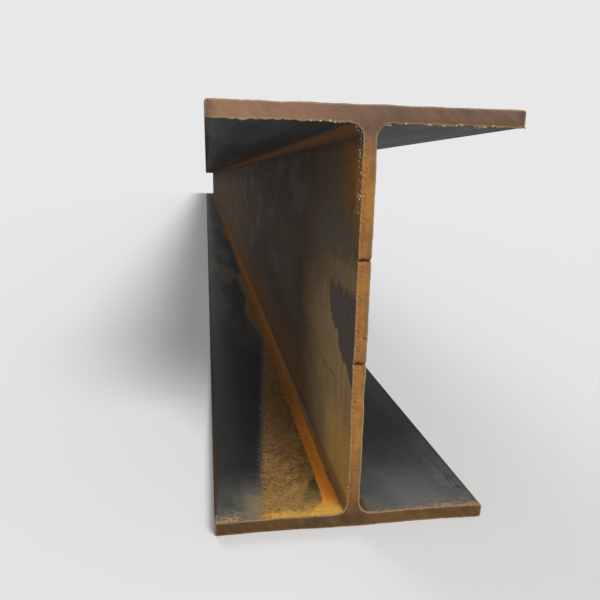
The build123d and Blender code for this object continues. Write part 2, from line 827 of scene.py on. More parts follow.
    def add_torch_face(self, bm: BMesh, edge: Ring) -> None:
        """Fill the torch-cut end with a fine, uneven face.

        Each vertex keeps its distance from the melted rim, which the finish paints by.

        Args:
            bm: The mesh to add to.
            edge: The collar's first ring, which the face meets.
        """
        rim = bm.verts.layers.float[RIM_DISTANCE]
        places = [Vector((vert.co.x, vert.co.z)) for vert in edge]
        places += self.inner_places()
        loop = list(range(len(edge)))
        flat, _, faces, origins, _, _ = delaunay_2d_cdt(places, [], [loop], 1, MERGE_DISTANCE / 2)
        verts = []
        for number, place in enumerate(flat):
            source = origins[number][0] if origins[number] else None
            if source is not None and source < len(edge):
                verts.append(edge[source])
                continue
            y = self.start + self.cut.depth(place.x, place.y)
            vert = bm.verts.new((place.x, y, place.y))
            vert[rim] = max(self.section.inset(place.x, place.y) - self.cut.melt, 0.0)
            verts.append(vert)
        for corners in faces:
            face = bm.faces.new([verts[corner] for corner in corners])
            face.material_index = SkinSlot.TORCH_CUT.value

    def inner_places(self) -> list[Vector]:
        """Return the points inside the torch-cut face, on a grid shaken a little off its lines.

        Returns:
            Places as x and z, clear of the melted rim.
        """
        found = []
        rows = int(self.section.depth / self.grain) + 1
        columns = int(self.section.width / self.grain) + 1
        margin = self.cut.melt + self.cut.wander / 2 + self.grain / 2
        for row in range(rows):
            for column in range(columns):
                across = (column + 0.5 * (row % 2)) * self.grain - self.section.width / 2
                up = row * self.grain
                spot = Vector((column * NOISE_STEP, row * NOISE_STEP, NOISE_LEVEL))
                across += noise.noise(spot) * self.grain * self.shake
                up += noise.noise(spot + UP_SEED) * self.grain * self.shake
                if self.section.inset(across, up) > margin:
                    found.append(Vector((across, up)))
        return found

    def add_saw_face(self, bm: BMesh) -> None:
        """Close the far end with a plain flat face.

        Args:
            bm: The mesh to add to.
        """
        ring = [bm.verts.new((across, self.end, up)) for across, up in self.section.outline(False)]
        face = bm.faces.new(list(reversed(ring)))
        face.material_index = SkinSlot.SAW_CUT.value
        face.normal_update()
        bmesh.ops.triangulate(bm, faces=[face])


def baked_nodes(
    piece: Object, tree: NodeTree, values: dict[str, object], name: str
) -> Object:
    """Run a Geometry Nodes tree on an object and keep the result as a plain mesh.

    Args:
        piece: The object whose mesh goes into the tree. It is used up.
        tree: The tree.
        values: The tree's inputs by name.
        name: The result's name.

    Returns:
        A new object with the tree's mesh and no modifier.
    """
    modifier = piece.modifiers.new(tree.name, "NODES")
    modifier.node_group = tree
    for item in tree.interface.items_tree:
        if item.in_out == "INPUT" and item.name in values:
            modifier[item.identifier] = values[item.name]
    graph = bpy.context.evaluated_depsgraph_get()
    mesh = bpy.data.meshes.new_from_object(piece.evaluated_get(graph))
    mesh.name = name
    result = put_in_scene(mesh)
    bpy.data.objects.remove(piece)
    return result


class TreeKind(Enum):
    """Kinds of node groups."""

    SHADER = "ShaderNodeTree"
    GEOMETRY = "GeometryNodeTree"


class SocketKind(Enum):
    """Kinds of the groups' inputs and outputs."""

    FLOAT = "NodeSocketFloat"
    COUNT = "NodeSocketInt"
    VECTOR = "NodeSocketVector"
    GEOMETRY = "NodeSocketGeometry"
    MATERIAL = "NodeSocketMaterial"


@dataclass(frozen=True)
class Value:
    """What a node gives: a number or mask, a colour, a vector or a mesh.

    Numbers and masks can be reckoned with, and that adds the nodes that do it.

    Attributes:
        sheet: The sheet that the node is on.
        socket: The node's output.
    """

    sheet: Sheet
    socket: NodeSocket

    def __add__(self, other: Amount) -> Value:
        """Return the sum of two numbers."""
        return self.sheet.math("ADD", self, other)

    def __sub__(self, other: Amount) -> Value:
        """Return this number less another."""
        return self.sheet.math("SUBTRACT", self, other)

    def __rsub__(self, other: float) -> Value:
        """Return another number less this one."""
        return self.sheet.math("SUBTRACT", other, self)

    def __mul__(self, other: Amount) -> Value:
        """Return the product, which of two masks is where both hold."""
        return self.sheet.math("MULTIPLY", self, other)

    def __truediv__(self, other: Amount) -> Value:
        """Return this number divided by another."""
        return self.sheet.math("DIVIDE", self, other)

    def __rtruediv__(self, other: float) -> Value:
        """Return another number divided by this one."""
        return self.sheet.math("DIVIDE", other, self)

    def most(self, other: Amount) -> Value:
        """Return the larger of two numbers, which of two masks is where either holds."""
        return self.sheet.math("MAXIMUM", self, other)

    def step(self, off: Amount, on: Amount) -> Value:
        """Return the mask that eases from 0, where this number is off, to 1, where it is on."""
        feeds = {"Value": self, "From Min": off, "From Max": on}
        return self.sheet.value("ShaderNodeMapRange", feeds, "Result", interpolation_type="SMOOTHSTEP")

    def between(self, first: Amount, last: Amount) -> Value:
        """Return the number that goes from first, where this mask is 0, to last, where it is 1."""
        feeds = {"Value": self, "To Min": first, "To Max": last}
        return self.sheet.value("ShaderNodeMapRange", feeds, "Result")

    def band(self, low: Amount, high: Amount, soft: float) -> Value:
        """Return the mask of where this number is between two limits, with soft edges outside."""
        return self.step(off=low - soft, on=low) * self.step(off=high + soft, on=high)

    def shaken(self, noise_value: Value, reach: float) -> Value:
        """Return this number pushed to and fro by a 0..1 noise, so that an edge on it is ragged."""
        feeds = {"Value": self, "Noise": noise_value, "Reach": reach}
        return self.sheet.group(shaken_value, feeds)["Value"]

    def blend(self, under: Tone, over: Tone) -> Value:
        """Return one colour laid over another by this mask.

        Args:
            under: The colour where the mask is 0.
            over: The colour where it is 1.

        Returns:
            The colour.
        """
        made = self.sheet.node("ShaderNodeMix", {"Factor": self}, data_type="RGBA")
        sockets = [socket for socket in made.inputs if socket.type == "RGBA"]
        for socket, colour in zip(sockets, (under, over), strict=True):
            self.sheet.feed(socket, colour)
        return Value(self.sheet, next(s for s in made.outputs if s.type == "RGBA"))


Amount = Value | float
Tone = Value | Colour
Feeds = dict[str | int, object]
Builder = Callable[[], NodeTree]


class Sheet:
    """A node tree that is filled from left to right.

    Args:
        tree: The shader or geometry tree to fill.
    """

    def __init__(self, tree: NodeTree) -> None:
        """Keep the tree."""
        self.tree = tree

    def feed(self, socket: NodeSocket, value: object) -> None:
        """Feed a node's input.

        Args:
            socket: The input.
            value: A plain number, vector or colour, or what another node gives.
        """
        if isinstance(value, Value):
            self.tree.links.new(value.socket, socket)
        elif socket.type == "RGBA":
            socket.default_value = (*value, 1.0)
        else:
            socket.default_value = value

    def node(self, kind: str, feeds: Feeds, **settings: object) -> Node:
        """Add a node.

        Args:
            kind: The node's type name.
            feeds: What feeds its inputs, by their names or numbers.
            **settings: Its properties.

        Returns:
            The node.
        """
        made = self.tree.nodes.new(kind)
        for name, setting in settings.items():
            setattr(made, name, setting)
        for key, value in feeds.items():
            self.feed(made.inputs[key], value)
        return made

    def value(self, kind: str, feeds: Feeds, output: str | int = 0, **settings: object) -> Value:
        """Add a node and return what one of its outputs gives, by the output's name or number."""
        return Value(self, self.node(kind, feeds, **settings).outputs[output])

    def named(self, outputs: Iterable[NodeSocket]) -> dict[str, Value]:
        """Return what a node gives, by the names of its outputs."""
        return {output.name: Value(self, output) for output in outputs}

    def group(self, builder: Builder, feeds: Feeds) -> dict[str, Value]:
        """Place a shared group, which is built once.

        Args:
            builder: The function that builds the group, under its own name.
            feeds: What feeds the group's inputs, by name.

        Returns:
            What the group gives, by name.
        """
        tree = bpy.data.node_groups.get(builder.__name__) or builder()
        return self.named(self.node("ShaderNodeGroup", feeds, node_tree=tree).outputs)

    def math(self, kind: str, first: Amount, second: Amount = 0.0) -> Value:
        """Return the result of a Math node of a kind."""
        return self.value("ShaderNodeMath", {0: first, 1: second}, operation=kind)

    def parts(self, vector: Value) -> tuple[Value, Value, Value]:
        """Return a vector's x, y and z."""
        found = self.named(self.node("ShaderNodeSeparateXYZ", {0: vector}).outputs)
        return found["X"], found["Y"], found["Z"]

    def vector(self, x: Amount = 0.0, y: Amount = 0.0, z: Amount = 0.0) -> Value:
        """Return the vector of three numbers."""
        return self.value("ShaderNodeCombineXYZ", {"X": x, "Y": y, "Z": z})

    def texture(
        self, place: Value, scale: Amount = 1.0, detail: Amount = 2.0, harsh: Amount = 0.5,
        swirl: Amount = 0.0,
    ) -> Value:
        """Return a plain noise about 0.5.

        Args:
            place: Where to look in it.
            scale: How many spots it has to a unit of the place.
            detail: How many finer layers it has.
            harsh: How strong those layers are.
            swirl: How strongly the spots are curled.

        Returns:
            The noise.
        """
        feeds = {"Vector": place, "Scale": scale, "Detail": detail}
        feeds |= {"Roughness": harsh, "Distortion": swirl}
        return self.value("ShaderNodeTexNoise", feeds)


class Paint(Sheet):
    """A material with one main shader.

    Args:
        name: The material's name.
    """

    def __init__(self, name: str) -> None:
        """Make the material with nothing but its main shader."""
        self.material = bpy.data.materials.new(name)
        self.material.use_nodes = True
        super().__init__(self.material.node_tree)
        self.tree.nodes.clear()
        self.shader = self.node("ShaderNodeBsdfPrincipled", {})
        self.node("ShaderNodeOutputMaterial", {"Surface": Value(self, self.shader.outputs[0])})

    @cached_property
    def place(self) -> Value:
        """Object coordinates."""
        return self.value("ShaderNodeTexCoord", {}, "Object")

    def noise(
        self, seed: float, across: float, along: float | None = None, detail: float = 4.0,
        harsh: float = 0.55, swirl: float = 0.0,
    ) -> Value:
        """Return noise from 0 to 1 whose spots have one size across the beam and one along it.

        Args:
            seed: A number that sets this noise apart from others.
            across: The spots' size across the beam.
            along: Their size along it, the same unless it is given.
            detail: How many finer layers it has.
            harsh: How strong those layers are.
            swirl: How strongly the spots are curled.

        Returns:
            The noise.
        """
        feeds = {"Place": self.place, "Across": across, "Along": along or across}
        feeds |= {"Seed": seed, "Detail": detail, "Harsh": harsh, "Swirl": swirl}
        return self.group(stretched_noise, feeds)["Value"]

    def finish(
        self, colour: Tone, roughness: Amount, height: Value | None = None, bump: float = 0.8,
        metallic: float = 0.0, specular: float = 0.5,
    ) -> Material:
        """Feed the main shader.

        Args:
            colour: Base colour.
            roughness: Roughness.
            height: Height of the relief, if there is any.
            bump: Strength of the relief.
            metallic: How metallic it is.
            specular: How strongly it mirrors.

        Returns:
            The finished material.
        """
        feeds = {"Base Color": colour, "Roughness": roughness}
        feeds |= {"Metallic": metallic, "Specular IOR Level": specular}
        if height is not None:
            relief = {"Height": height, "Strength": bump, "Distance": 1.0}
            feeds["Normal"] = self.value("ShaderNodeBump", relief)
        for name, value in feeds.items():
            self.feed(self.shader.inputs[name], value)
        return self.material


@dataclass(frozen=True)
class Surface:
    """What the finishes' patterns follow.

    Attributes:
        section: The rolled section.
        cut_end: Y of the torch-cut end.
    """

    section: Section
    cut_end: float


class BeamPaint(Paint):
    """A material of the beam, which knows where on the beam it is.

    Args:
        name: The material's name.
        surface: What its patterns follow.

    Attributes:
        across: X.
        height: Height above the floor.
        tip: Distance from the nearer flange tip.
        toe: Distance from the toe of the nearer fillet.
        rise: Distance from the nearer flange's inner face, into the web.
        end: Distance from the torch-cut end.
        inside: Mask of the chambers' sides.
        low: Mask of the lower half.
        left: Mask of the left half, seen from the torch-cut end.
    """

    across: Value
    height: Value
    tip: Value
    toe: Value
    rise: Value
    end: Value
    inside: Value
    low: Value
    left: Value

    def __init__(self, name: str, surface: Surface) -> None:
        """Make the material and find its places."""
        super().__init__(name)
        section = surface.section
        feeds = {"Place": self.place, "Half Width": section.width / 2, "Depth": section.depth}
        feeds |= {"Flange": section.flange, "Toe": section.toe, "Cut End": surface.cut_end}
        for label, value in self.group(beam_places, feeds).items():
            setattr(self, label.lower(), value)


class Layers:
    """Colours laid one over another.

    Args:
        paint: The material.
        colour: The first colour.
    """

    def __init__(self, paint: BeamPaint, colour: Tone) -> None:
        """Start with one coat."""
        self.paint = paint
        self.colour = colour

    def lay(self, mask: Value, colour: Tone, share: Amount = 1.0) -> Value:
        """Lay another coat.

        Args:
            mask: Where it lies.
            colour: Its colour.
            share: How much of what is beneath it hides.

        Returns:
            How much it hides at each place.
        """
        strength = mask * share
        self.colour = strength.blend(self.colour, colour)
        return strength


class Coats(Layers):
    """Layers that also say how rusted they leave the surface.

    Args:
        paint: The material.
        colour: The first colour.
        rust: How rusted it is, from 0 for scale to 1 for loose rust.
    """

    def __init__(self, paint: BeamPaint, colour: Tone, rust: Amount) -> None:
        """Start with one coat."""
        super().__init__(paint, colour)
        self.rust = rust

    def lay(self, mask: Value, colour: Tone, share: Amount = 1.0, rust: Amount = 1.0) -> Value:
        """Lay another coat, which is as rusted as it says, and return how much it hides."""
        strength = super().lay(mask, colour, share)
        self.rust = strength.between(self.rust, rust)
        return strength


class Group(Sheet):
    """A node group with named inputs and outputs.

    Args:
        builder: The function that builds the group, which has the group's name.
        *numbers: The names of the inputs that are plain numbers.
        kind: The kind of group.
        **others: The kinds of the other inputs, which come first.

    Attributes:
        given: What the inputs give, by name.
    """

    def __init__(
        self, builder: Builder, *numbers: str, kind: TreeKind = TreeKind.SHADER, **others: SocketKind
    ) -> None:
        """Make the group and its inputs."""
        super().__init__(bpy.data.node_groups.new(builder.__name__, kind.value))
        for label, socket_kind in (others | dict.fromkeys(numbers, SocketKind.FLOAT)).items():
            self.tree.interface.new_socket(label, in_out="INPUT", socket_type=socket_kind.value)
        self.given = self.named(self.node("NodeGroupInput", {}).outputs)

    def give(self, kind: SocketKind = SocketKind.FLOAT, **results: Value) -> NodeTree:
        """Feed the group's outputs.

        Args:
            kind: The outputs' kind, the same for all.
            **results: What feeds each of them, by name.

        Returns:
            The finished tree.
        """
        for label in results:
            self.tree.interface.new_socket(label, in_out="OUTPUT", socket_type=kind.value)
        self.node("NodeGroupOutput", results)
        return self.tree


def stretched_noise() -> NodeTree:
    """Build noise whose spots have one size across the beam and one along it.

    Returns:
        The group.
    """
    names = ("Across", "Along", "Seed", "Detail", "Harsh", "Swirl")
    sheet = Group(stretched_noise, *names, Place=SocketKind.VECTOR)
    given = sheet.given
    x, y, z = sheet.parts(given["Place"])
    across = x / given["Across"] + given["Seed"]
    place = sheet.vector(across, y / given["Along"], z / given["Across"])
    spots = sheet.texture(place, 1.0, given["Detail"], given["Harsh"], given["Swirl"])
    return sheet.give(Value=spots.step(off=0.28, on=0.72))


def shaken_value() -> NodeTree:
    """Build the group that pushes a value to and fro by a noise.

    Returns:
        The group.
    """
    sheet = Group(shaken_value, "Value", "Noise", "Reach")
    swing = (sheet.given["Noise"] - 0.5) * 2.0
    return sheet.give(Value=sheet.given["Value"] + swing * sheet.given["Reach"])


def fine_pits() -> NodeTree:
    """Build the grain of rusted steel: a height in metres and a mask of its dark pits.

    Returns:
        The group.
    """
    sheet = Group(fine_pits, "Size", "Depth", Place=SocketKind.VECTOR)
    given = sheet.given
    scale = 1.0 / given["Size"]
    grain = sheet.texture(given["Place"], scale, detail=5, harsh=0.62)
    coarse = {"Vector": given["Place"], "Scale": scale * 0.5}
    cells = sheet.value("ShaderNodeTexVoronoi", coarse, "Distance", feature="F1")
    pits = cells.step(off=0.34, on=0.12) * grain.step(off=0.45, on=0.6)
    height = grain - pits * 0.6
    return sheet.give(Height=height * given["Depth"], Mask=pits)


def beam_places() -> NodeTree:
    """Build the group that tells a surface where on the beam it is, as BeamPaint lists it.

    Returns:
        The group.
    """
    names = ("Half Width", "Depth", "Flange", "Toe", "Cut End")
    sheet = Group(beam_places, *names, Place=SocketKind.VECTOR)
    given = sheet.given
    x, y, z = sheet.parts(given["Place"])
    side = sheet.math("ABSOLUTE", x)
    from_top = given["Depth"] - z
    rise = sheet.math("MINIMUM", z, from_top) - given["Flange"]
    return sheet.give(
        Across=x,
        Height=z,
        Tip=given["Half Width"] - side,
        Toe=side - given["Toe"],
        Rise=rise,
        End=y - given["Cut End"],
        Inside=rise.step(off=-5 * MM, on=-2 * MM),
        Low=sheet.math("LESS_THAN", z, from_top),
        Left=sheet.math("LESS_THAN", x, 0.0),
    )


def section_sweep() -> NodeTree:
    """Build the tree that sweeps a section line along Y, its rings crowded towards the start.

    Returns:
        The tree.
    """
    others = {"Section": SocketKind.GEOMETRY, "Rings": SocketKind.COUNT}
    sheet = Group(section_sweep, "Start", "End", "Crowding", kind=TreeKind.GEOMETRY, **others)
    given = sheet.given
    start, end = given["Start"], given["End"]
    ends = {"Start": sheet.vector(y=start), "End": sheet.vector(y=end)}
    line = sheet.value("GeometryNodeCurvePrimitiveLine", ends)
    path = sheet.value("GeometryNodeResampleCurve", {"Curve": line, "Count": given["Rings"]})
    share = sheet.value("GeometryNodeSplineParameter", {}, "Factor")
    crowded = sheet.math("POWER", share, given["Crowding"])
    place = sheet.vector(y=(end - start) * crowded + start)
    spaced = sheet.value("GeometryNodeSetPosition", {"Geometry": path, "Position": place})
    upright = sheet.value("GeometryNodeSetCurveNormal", {"Curve": spaced}, mode="Z_UP")
    profile = sheet.value("GeometryNodeMeshToCurve", {0: given["Section"]})
    swept = sheet.value("GeometryNodeCurveToMesh", {"Curve": upright, "Profile Curve": profile})
    real = sheet.value("GeometryNodeRealizeInstances", {0: swept})
    return sheet.give(SocketKind.GEOMETRY, Mesh=real)


def slag_row() -> NodeTree:
    """Build the tree that hangs uneven beads along a line, with a fixed seed.

    Returns:
        The tree.
    """
    names = ("Spacing", "Radius", "Scatter", "Share", "Stretch")
    others = {"Line": SocketKind.GEOMETRY, "Seed": SocketKind.COUNT, "Finish": SocketKind.MATERIAL}
    sheet = Group(slag_row, *names, kind=TreeKind.GEOMETRY, **others)
    given = sheet.given
    curve = sheet.value("GeometryNodeMeshToCurve", {0: given["Line"]})
    spacing = {"Curve": curve, "Length": given["Spacing"]}
    points = sheet.value("GeometryNodeResampleCurve", spacing, mode="LENGTH")
    scatter, back = given["Scatter"], given["Scatter"] * -1.0
    limits = {0: sheet.vector(back, back, back), 1: sheet.vector(scatter, scatter, scatter)}
    limits["Seed"] = given["Seed"]
    shake = sheet.value("FunctionNodeRandomValue", limits, data_type="FLOAT_VECTOR")
    shaken = sheet.value("GeometryNodeSetPosition", {"Geometry": points, "Offset": shake})
    ball = {"Segments": 8, "Rings": 5, "Radius": given["Radius"]}
    bead = sheet.value("GeometryNodeMeshUVSphere", ball)
    chance = {"Probability": given["Share"], "Seed": given["Seed"]}
    kept = sheet.value("FunctionNodeRandomValue", chance, 3, data_type="BOOLEAN")
    largest = sheet.vector(given["Stretch"], 1.3, 1.3)
    sizes = {0: (0.5, 0.5, 0.5), 1: largest, "Seed": given["Seed"]}
    size = sheet.value("FunctionNodeRandomValue", sizes, data_type="FLOAT_VECTOR")
    feeds = {"Points": shaken, "Selection": kept, "Instance": bead, "Scale": size}
    beads = sheet.value("GeometryNodeInstanceOnPoints", feeds)
    real = sheet.value("GeometryNodeRealizeInstances", {0: beads})
    soft = sheet.value("GeometryNodeSetShadeSmooth", {0: real})
    dressed = sheet.value("GeometryNodeSetMaterial", {0: soft, "Material": given["Finish"]})
    return sheet.give(SocketKind.GEOMETRY, Mesh=dressed)


@dataclass(frozen=True)
class Patch:
    """A patch of colour at one place near the torch-cut end.

    Attributes:
        colour: Its colour.
        low: Where it starts, across a flange or up the web.
        high: Where it ends.
        far: How far from the cut end it ends.
        soft: Width of its soft edge.
        wobble: How far its edge wanders.
        share: How much of what is beneath it hides.
        near: How far from the cut end it starts.
        rust: How rusted it is.
    """

    colour: Colour
    low: float
    high: float
    far: float
    soft: float
    wobble: float
    share: float
    near: float = 0.0
    rust: float = 1.0

    def lay(self, coats: Coats, cross: Value, on: Value, ragged: tuple[Value, Value]) -> None:
        """Lay the patch on a face.

        Args:
            coats: The coats of the face.
            cross: The place that runs across the face.
            on: Mask of the face.
            ragged: Two noises that shake its edges.
        """
        side = cross.shaken(ragged[0], self.wobble)
        run = coats.paint.end.shaken(ragged[1], self.wobble)
        across = side.band(self.low, self.high, self.soft)
        along = run.band(self.near, self.far, self.soft)
        coats.lay(across * along * on, self.colour, self.share, self.rust)


@dataclass(frozen=True)
class RolledFinish(ABC):
    """Mill scale as the rolls left it, with the rust that weather has put on it.

    Attributes:
        name: The material's name.
        surface: What its patterns follow.
        pit_size: Size of the rust's pits.
        pit_depth: Their depth.
        ripple_height: Height of the thick rust's ripples.
        mirror: How strongly the scale mirrors.
        silver: A colour of the coats, as all the fields after it are.
    """

    name: ClassVar[str]

    surface: Surface
    pit_size: float = 2.6 * MM
    pit_depth: float = 0.6 * MM
    ripple_height: float = 0.9 * MM
    mirror: float = 0.03
    silver: Colour = (0.185, 0.19, 0.205)
    slate: Colour = (0.098, 0.101, 0.122)
    moss: Colour = (0.060, 0.070, 0.052)
    night: Colour = (0.013, 0.014, 0.0145)
    film: Colour = (0.125, 0.098, 0.072)
    brown: Colour = (0.085, 0.045, 0.018)
    rust: Colour = (0.27, 0.125, 0.036)
    orange: Colour = (0.84, 0.285, 0.034)
    ochre: Colour = (0.44, 0.27, 0.085)
    yellow: Colour = (0.70, 0.41, 0.075)
    cream: Colour = (0.50, 0.35, 0.22)
    frost: Colour = (0.34, 0.36, 0.36)
    haze: Colour = (0.15, 0.16, 0.17)
    pewter: Colour = (0.17, 0.165, 0.135)
    violet: Colour = (0.052, 0.045, 0.050)
    fillet: Colour = (0.25, 0.115, 0.045)
    shade: Colour = (0.055, 0.050, 0.026)

    @abstractmethod
    def coats(self, paint: BeamPaint) -> Coats:
        """Lay the coats of the face, and return them."""

    def material(self) -> Material:
        """Build the material.

        Returns:
            The material: the coats, with their rust pitted and rippled.
        """
        paint = BeamPaint(self.name, self.surface)
        coats = self.coats(paint)
        feeds = {"Place": paint.place, "Size": self.pit_size, "Depth": self.pit_depth}
        pits = paint.group(fine_pits, feeds)
        coats.lay(pits["Mask"] * coats.rust.between(0.1, 0.6), self.night)
        roughness = coats.rust.between(0.5, 0.92)
        waves = self.ripples(paint) * self.ripple_height
        height = (pits["Height"] + waves) * coats.rust
        return paint.finish(coats.colour, roughness, height, specular=self.mirror)

    def lay_rim(self, coats: Coats, torn: Value) -> None:
        """Lay the pale line along the cut edge, torn by a noise: heat-tinted oxide and a painted
        highlight.
        """
        # The pale line is heat-tinted oxide and a painted highlight on the cut edge.
        rim = coats.paint.end.shaken(torn, reach=0.0015).step(off=0.0035, on=0.002)
        coats.lay(rim, self.ochre, share=0.55)

    @staticmethod
    def ripples(paint: BeamPaint) -> Value:
        """Return the curled ripples of the thick rust, from 0 to 1."""
        return paint.noise(seed=71, across=0.0105, along=0.0110, detail=5, harsh=0.60, swirl=2.0)

    @staticmethod
    def ragged(paint: BeamPaint) -> tuple[Value, Value]:
        """Return two noises that shake the edges of patches."""
        one = paint.noise(seed=57, across=0.012, detail=8, harsh=0.72)
        two = paint.noise(seed=67, across=0.010, detail=8, harsh=0.72)
        return one, two


@dataclass(frozen=True)
class FlangeFinish(RolledFinish):
    """The flanges: smooth scale with a broad band of thick rust beside the fillets, and painted shade
    on the lower one.

    Attributes:
        band_reach: How far the band reaches from the fillet at the cut end.
        band_taper: How much narrower it gets along the beam.
        band_least: How wide it stays in patches farther on.
        pocket_reach: How far the dark pocket beside the orange line reaches from the fillet.
        pocket_taper: How much narrower it gets along the beam.
        scrape_places: Distances of the scrape's two lines from the flange tip.
        scrape_drift: How far the lines drift inwards along the beam.
        scratch_width: Width of the pale scratches near the cut.
        scratch_length: Their length.
    """

    name: ClassVar[str] = "scale_and_rust_of_flanges"

    band_reach: float = 0.083
    band_taper: float = 0.1
    band_least: float = 0.034
    pocket_reach: float = 0.050
    pocket_taper: float = 0.42
    scrape_places: Place = (0.0085, 0.0125)
    scrape_drift: float = 0.058
    scratch_width: float = 2.2 * MM
    scratch_length: float = 50 * MM

    def coats(self, paint: BeamPaint) -> Coats:
        """Lay the coats of the flanges.

        Args:
            paint: The material.

        Returns:
            The coats.
        """
        clouds = paint.noise(seed=11, across=0.11, along=0.4, detail=6)
        tint = paint.noise(seed=13, across=0.05, along=0.09, detail=5)
        left_floor = paint.left * paint.low
        right_floor = (1 - paint.left) * paint.low
        depth = (paint.noise(seed=3, across=0.05, along=1.8) + clouds) / 2
        scale = depth.between(0.45, 0.0).blend(tint.blend(self.slate, self.moss), self.night)
        coats = Coats(paint, scale, rust=0.05)
        # Painted shade: near-black over the lower flange's left half, which also keeps less of the
        # silver scale.
        coats.lay(left_floor, self.night, share=0.92, rust=0.05)
        bright = left_floor.between(0.45, 0.06)
        coats.lay(depth.step(off=0.5, on=0.95), self.silver, bright, rust=0.0)
        wiped = paint.noise(seed=19, across=0.06, along=0.007, detail=5, harsh=0.65, swirl=0.6)
        coats.lay(wiped.step(off=0.6, on=0.98), self.film, share=0.2, rust=0.2)
        # Painted shade: the lower flange's inner faces go near-black from the cut inwards.
        inner = paint.low * paint.end.step(off=0.01, on=0.25) * paint.inside
        coats.lay(inner, self.night, share=0.91, rust=0.05)
        self.lay_dust(coats, clouds, tint)
        self.lay_near_scale(coats, left_floor, right_floor)
        self.lay_scratches(coats, left_floor)
        self.lay_band(coats)
        self.lay_lines(coats)
        ragged = self.ragged(paint)
        for patch in self.patches():
            patch.lay(coats, paint.across, paint.low, ragged)
        self.lay_crumbs(coats)
        self.lay_rim(coats, ragged[0])
        return coats

    def lay_dust(self, coats: Coats, clouds: Value, tint: Value) -> None:
        """Lay the rust dust and smears on the scale.

        Args:
            coats: The flanges' coats.
            clouds: The scale's broad clouds.
            tint: The noise that tints it.
        """
        paint = coats.paint
        dusty = paint.noise(seed=23, across=0.06, along=0.5, detail=6)
        far = paint.end.step(off=0.4, on=1.2)
        coats.lay(dusty.step(off=0.4, on=0.9) * far, self.film, share=0.5, rust=0.4)
        outer = 1 - paint.inside
        weathered = ((dusty + tint + clouds) / 3).step(off=0.46, on=0.62)
        coats.lay(weathered * outer, self.fillet, share=0.55, rust=0.9)
        smears = paint.noise(seed=25, across=0.016, along=0.012, detail=6, harsh=0.65)
        coats.lay(smears.step(off=0.66, on=0.95), self.night, share=0.4, rust=0.1)
        dots = paint.noise(seed=27, across=0.0020, along=0.0024, detail=1)
        coats.lay(dots.step(off=0.965, on=1.0), self.haze, share=0.5, rust=0.1)

    def lay_near_scale(self, coats: Coats, left: Value, right: Value) -> None:
        """Lay the tints of the scale near the cut, and a painted light on the right floor there.

        Args:
            coats: The flanges' coats.
            left: Mask of the lower flange's left.
            right: Mask of its right.
        """
        paint = coats.paint
        soft = paint.noise(seed=35, across=0.03, along=0.04, detail=5)
        near = paint.end.shaken(soft, reach=0.02).step(off=0.13, on=-0.01)
        coats.lay(near * left, soft.blend(self.moss, self.pewter), share=0.85, rust=0.1)
        stripe = paint.across.shaken(soft, reach=0.003).band(-0.110, -0.101, soft=0.012) * left
        coats.lay(stripe * paint.end.step(off=0.11, on=0.01), self.pewter, share=0.6, rust=0.1)
        # Painted light: a pale band on the lower flange's right, near the cut.
        glow = paint.across.band(0.06, 0.10, soft=0.035) * right
        glow = glow * paint.end.step(off=0.13, on=0.01)
        coats.lay(glow, soft.blend(self.haze, self.silver), share=0.75, rust=0.0)
        green = paint.across.band(0.02, 0.04, soft=0.03) * right
        green = green * paint.end.step(off=0.22, on=0.06) * soft
        coats.lay(green, self.moss, share=0.7, rust=0.2)
        edge = right * paint.end.shaken(soft, reach=0.015).step(off=0.045, on=0.0)
        coats.lay(edge, self.pewter, share=0.6, rust=0.3)

    def lay_scratches(self, coats: Coats, left: Value) -> None:
        """Lay the pale slanting scratches on the scale near the cut.

        Args:
            coats: The flanges' coats.
            left: Mask of the lower flange's left.
        """
        paint = coats.paint
        x, y, _ = paint.parts(paint.place)
        leaning = (y + x * 0.7) / self.scratch_width
        level = (x - y * 0.4) / self.scratch_length
        lines = paint.texture(paint.vector(leaning, level)).step(off=0.62, on=0.74)
        spread = left.most(paint.tip.step(off=0.05, on=0.02))
        short = paint.end.step(off=0.085, on=0.03)
        coats.lay(lines * spread * short * paint.low, self.frost, share=0.65, rust=0.1)

    def lay_band(self, coats: Coats) -> None:
        """Lay the broad mottled rust beside the fillets, widest on the lower flange's left.

        Args:
            coats: The flanges' coats.
        """
        paint = coats.paint
        main = paint.low * paint.left
        reach = self.band_reach - paint.end * self.band_taper
        patches = paint.noise(seed=61, across=0.25, along=0.6, detail=3)
        spread = patches * paint.end.step(off=0.3, on=0.9)
        reach = (reach * main).most(spread.between(-0.01, self.band_least))
        frayed = paint.noise(seed=51, across=0.006, detail=6, harsh=0.75)
        short = reach - paint.toe.shaken(frayed, reach=0.0045)
        fringe = short.band(-0.003, 0.001, soft=0.005) * frayed.step(off=0.4, on=0.8)
        coats.lay(fringe * main, self.pewter, share=0.45, rust=0.5)
        inside = short.step(off=0.0, on=0.006) * paint.inside
        coats.lay(inside, self.mottled(paint), share=0.94)
        coats.lay(inside * paint.end.step(off=0.02, on=0.36), self.brown, share=0.6)
        specks = paint.noise(seed=77, across=0.0034, along=0.0044, harsh=0.7, swirl=1.0)
        coats.lay(inside * specks.step(off=0.62, on=0.9), self.night, share=0.6)
        sparks = paint.noise(seed=79, across=0.0026, along=0.0030, detail=3)
        lit = short.step(off=0.045, on=0.0)
        sparkle = inside * sparks.step(off=0.72, on=0.95) * lit.between(0.35, 1.0)
        coats.lay(sparkle, self.cream, share=0.6)

    def mottled(self, paint: BeamPaint) -> Value:
        """Return the colour of the thick rust: brown and ochre ripples with rusty blotches.

        Args:
            paint: The material.

        Returns:
            The colour.
        """
        ripples = self.ripples(paint)
        blotches = paint.noise(seed=73, across=0.03, along=0.05, detail=5)
        scallops = paint.noise(seed=75, across=0.016, along=0.022, harsh=0.6, swirl=1.2)
        crests = ripples.step(off=0.15, on=0.85) + ripples.step(off=0.0, on=1.0)
        pattern = (crests + scallops) / 3
        return (blotches * 0.6).blend(pattern.blend(self.brown, self.ochre), self.rust)

